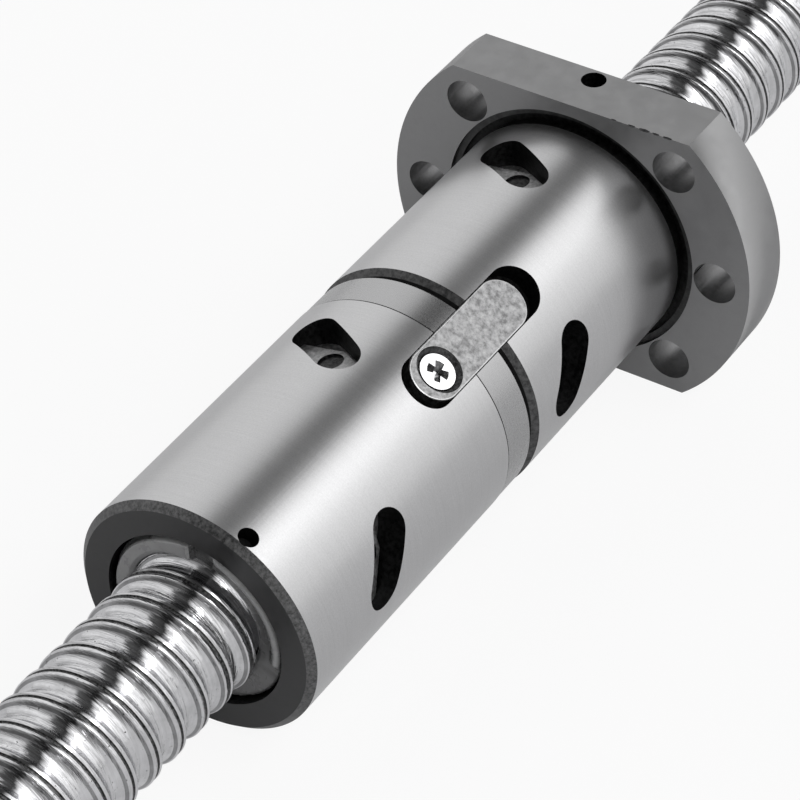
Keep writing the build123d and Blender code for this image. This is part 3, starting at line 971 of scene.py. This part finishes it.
def makeWiper(name, faceX, outwards, node):
    w = wiper
    seat = faceX - outwards * bore["recessDepth"]
    front = seat + outwards * w["thickness"]
    corners = wiperCorners(front, seat, outwards)
    steps, count = w["steps"], w["rings"] + 2
    faces, looks = [], []
    for step in range(steps):
        here, there = step * count, (step + 1) % steps * count
        turn = (360 * (step + 0.5) / steps * -outwards + 180) % 360 - 180
        inPocket = w["padTo"] < turn < w["ridgeFrom"] + w["shadeOverlap"]
        for i in range(count):
            j = (i + 1) % count
            faces.append((here + i, here + j, there + j, there + i))
            middle = (corners[here + i] + corners[there + j]) / 2
            shaded = inPocket and hypot(middle.y, middle.z) < w["ridgeRadius"]
            # raised faces of the pad and ridge get the lighter plastic, painted light; the pocket and the
            # faces inside the recess get the near-black one, painted shade
            raised = (middle.x - front) * outwards > w["paintedLightRise"]
            look = "wiperPale" if raised else "wiperPlastic"
            looks.append("wiperShade" if shaded or i >= w["rings"] else look)
    piece = meshPiece(name, corners, faces, ["wiperPlastic", "wiperPale", "wiperShade"])
    for face, look in zip(piece.data.polygons, looks):
        face.material_index = piece.data.materials.find(look)
    finishMesh(piece, sharpAngle=w["sharpAngle"])
    settle(piece, "nut", "wiper_plastic", node)


makeWiper("rearWiper", rearStart, -1, "rear_wiper")
makeWiper("flangeWiper", flangeEnd, 1, "flange_wiper")


setScrews = {"rearRadius": 1.35, "flangeRadius": 1.75, "foot": 13.25, "top": 15.6, "edge": 0.15}


def makeSetScrews():
    foot, top = setScrews["foot"], setScrews["top"]
    rearX, flangeX = rearStart + rearNut["screwX"], flangeEnd - flange["screwX"]
    first = rod("first", setScrews["rearRadius"], rearX, rearNut["screwAngle"], foot, top, "blackOxide")
    second = rod("second", setScrews["flangeRadius"], flangeX, 0, foot, top, "blackOxide")
    piece = joined("wiperSetScrews", [first, second])
    softenEdges(piece, setScrews["edge"])
    finishMesh(piece)
    settle(piece, "nut", "black_steel", "wiper_set_screws")


makeSetScrews()
print("wipers and set screws made")


studio = {
    "floorSize": 6.0, "floorTilt": 2.57, "floorGrey": 0.70, "floorClouds": 0.02, "floorCells": 30.0,
    "floorRough": 0.8, "whiteInCamera": 0.9, "whiteInMetal": 0.12,
    "cameraPlace": (-335.6, -197.4, 301.5), "cameraAim": (-44.4, 0.0, 1.1), "cameraRoll": -2.3,
    "lens": 155.62, "sensor": 36.0, "clipStart": 0.01,
}
keyLight = {"place": (-0.05, -0.62, 0.95), "aim": (-0.04, 0, 0), "size": (1.1, 0.22), "power": 3.0}
# long soft panels beside the screw and a dark gap between them: angle round the screw, brightness
panels = [(-180, 0.75), (-143, 1.15), (-95, 0.86), (-60, 1.02), (-43, 1.08), (-30, 1.05), (-20, 0.95),
          (-13, 0.14), (11, 0.05), (16, 0.75), (21, 1.55), (42, 1.90), (58, 1.38), (77, 1.15), (97, 0.86),
          (120, 0.66), (150, 0.5), (180, 0.6)]
# brightness along the screw: bright where plain turned steel looks, darker stripes for the groove flanks
panelEnds = [(-1.0, 0.2), (-0.75, 0.3), (-0.5, 0.8), (-0.2, 1.0), (0.12, 0.5), (0.3, 0.6), (0.47, 1.0),
             (0.79, 1.0), (0.88, 0.35), (1.0, 0.15)]


def levelRamp(nodes, links, source, stops, top):
    ramp = nodes.new("ShaderNodeValToRGB")
    while len(ramp.color_ramp.elements) < len(stops):
        ramp.color_ramp.elements.new(0.5)
    for element, (place, level) in zip(ramp.color_ramp.elements, stops):
        element.position = place
        element.color = (level / top, level / top, level / top, 1)
    links.new(source, ramp.inputs["Fac"])
    return ramp.outputs["Color"]


def whiteShare(nodes, links):
    # most of what the camera sees of the floor is its own white; metal sees part of that
    rays = nodes.new("ShaderNodeLightPath")
    total = None
    for ray, share in (("Is Transmission Ray", studio["whiteInCamera"]),
                       ("Is Camera Ray", studio["whiteInCamera"]),
                       ("Is Glossy Ray", studio["whiteInMetal"])):
        added = nodes.new("ShaderNodeMath")
        added.operation = "MULTIPLY_ADD"
        added.inputs[1].default_value = share
        added.inputs[2].default_value = 0.0
        links.new(rays.outputs[ray], added.inputs[0])
        if total:
            links.new(total, added.inputs[2])
        total = added.outputs[0]
    return total


def makeFloor():
    bpy.ops.mesh.primitive_plane_add(size=studio["floorSize"])
    floor = bpy.context.object
    floor.name = "floor"
    # it touches the lower flat of the flange and the rim of the rear nut
    lean = Matrix.Rotation(radians(studio["floorTilt"]), 4, "Y")
    floor.matrix_world = Matrix.Translation((0, 0, -flange["halfFlats"] * mm)) @ lean
    material, nodes, links, shader = newMaterial("paleFloor")
    grey, cells = studio["floorGrey"], studio["floorCells"]
    clouds = stretchedNoise(nodes, links, (cells, cells, cells), detail=2.0)
    pale = greyBetween(nodes, links, clouds, grey, grey + studio["floorClouds"])
    links.new(pale, shader.inputs["Base Color"])
    shader.inputs["Roughness"].default_value = studio["floorRough"]
    white = nodes.new("ShaderNodeEmission")
    white.inputs["Strength"].default_value = 1.0
    mix = nodes.new("ShaderNodeMixShader")
    links.new(whiteShare(nodes, links), mix.inputs["Fac"])
    links.new(shader.outputs["BSDF"], mix.inputs[1])
    links.new(white.outputs["Emission"], mix.inputs[2])
    links.new(mix.outputs["Shader"], nodes["Material Output"].inputs["Surface"])
    floor.data.materials.append(material)


def makeWorld():
    world = bpy.data.worlds.new("studio")
    bpy.context.scene.world = world
    world.use_nodes = True
    nodes, links = world.node_tree.nodes, world.node_tree.links
    place = nodes.new("ShaderNodeTexCoord")
    parts = nodes.new("ShaderNodeSeparateXYZ")
    links.new(place.outputs["Generated"], parts.inputs["Vector"])
    # the angle round the screw, from straight up towards -Y
    flip = nodes.new("ShaderNodeMath")
    flip.operation = "MULTIPLY"
    flip.inputs[1].default_value = -1.0
    links.new(parts.outputs["Y"], flip.inputs[0])
    angle = nodes.new("ShaderNodeMath")
    angle.operation = "ARCTAN2"
    links.new(flip.outputs[0], angle.inputs[0])
    links.new(parts.outputs["Z"], angle.inputs[1])
    turn = nodes.new("ShaderNodeMapRange")
    turn.inputs["From Min"].default_value = -pi
    turn.inputs["From Max"].default_value = pi
    links.new(angle.outputs[0], turn.inputs["Value"])
    brightest = max(level for _, level in panels)
    stops = [((a + 180) / 360, level) for a, level in panels]
    around = levelRamp(nodes, links, turn.outputs["Result"], stops, brightest)
    lengthwise = nodes.new("ShaderNodeMapRange")
    lengthwise.inputs["From Min"].default_value = -1.0
    links.new(parts.outputs["X"], lengthwise.inputs["Value"])
    stops = [((x + 1) / 2, level) for x, level in panelEnds]
    ends = levelRamp(nodes, links, lengthwise.outputs["Result"], stops, 1.0)
    links.new(multiplied(nodes, links, around, ends), nodes["Background"].inputs["Color"])
    nodes["Background"].inputs["Strength"].default_value = brightest


def softbox(name, place, aim, size, power):
    light = bpy.data.lights.new(name, "AREA")
    light.shape = "RECTANGLE"
    light.size, light.size_y = size
    light.energy = power
    lamp = bpy.data.objects.new(name, light)
    lamp.location = Vector(place)
    lamp.rotation_euler = (Vector(aim) - Vector(place)).to_track_quat("-Z", "Y").to_euler()
    bpy.context.scene.collection.objects.link(lamp)


def makeCamera():
    place, aim = Vector(studio["cameraPlace"]) * mm, Vector(studio["cameraAim"]) * mm
    camera = bpy.data.objects.new("camera", bpy.data.cameras.new("camera"))
    camera.data.lens = studio["lens"]
    camera.data.sensor_width = studio["sensor"]
    camera.data.clip_start = studio["clipStart"]
    camera.location = place
    roll = Matrix.Rotation(radians(studio["cameraRoll"]), 3, "Z")
    turn = (aim - place).to_track_quat("-Z", "Y").to_matrix() @ roll
    camera.rotation_euler = turn.to_euler()
    bpy.context.scene.collection.objects.link(camera)
    bpy.context.scene.camera = camera


makeFloor()
makeWorld()
makeCamera()
softbox("keyLight", **keyLight)

bpy.context.scene.view_settings.view_transform = "Standard"
print("stage made")
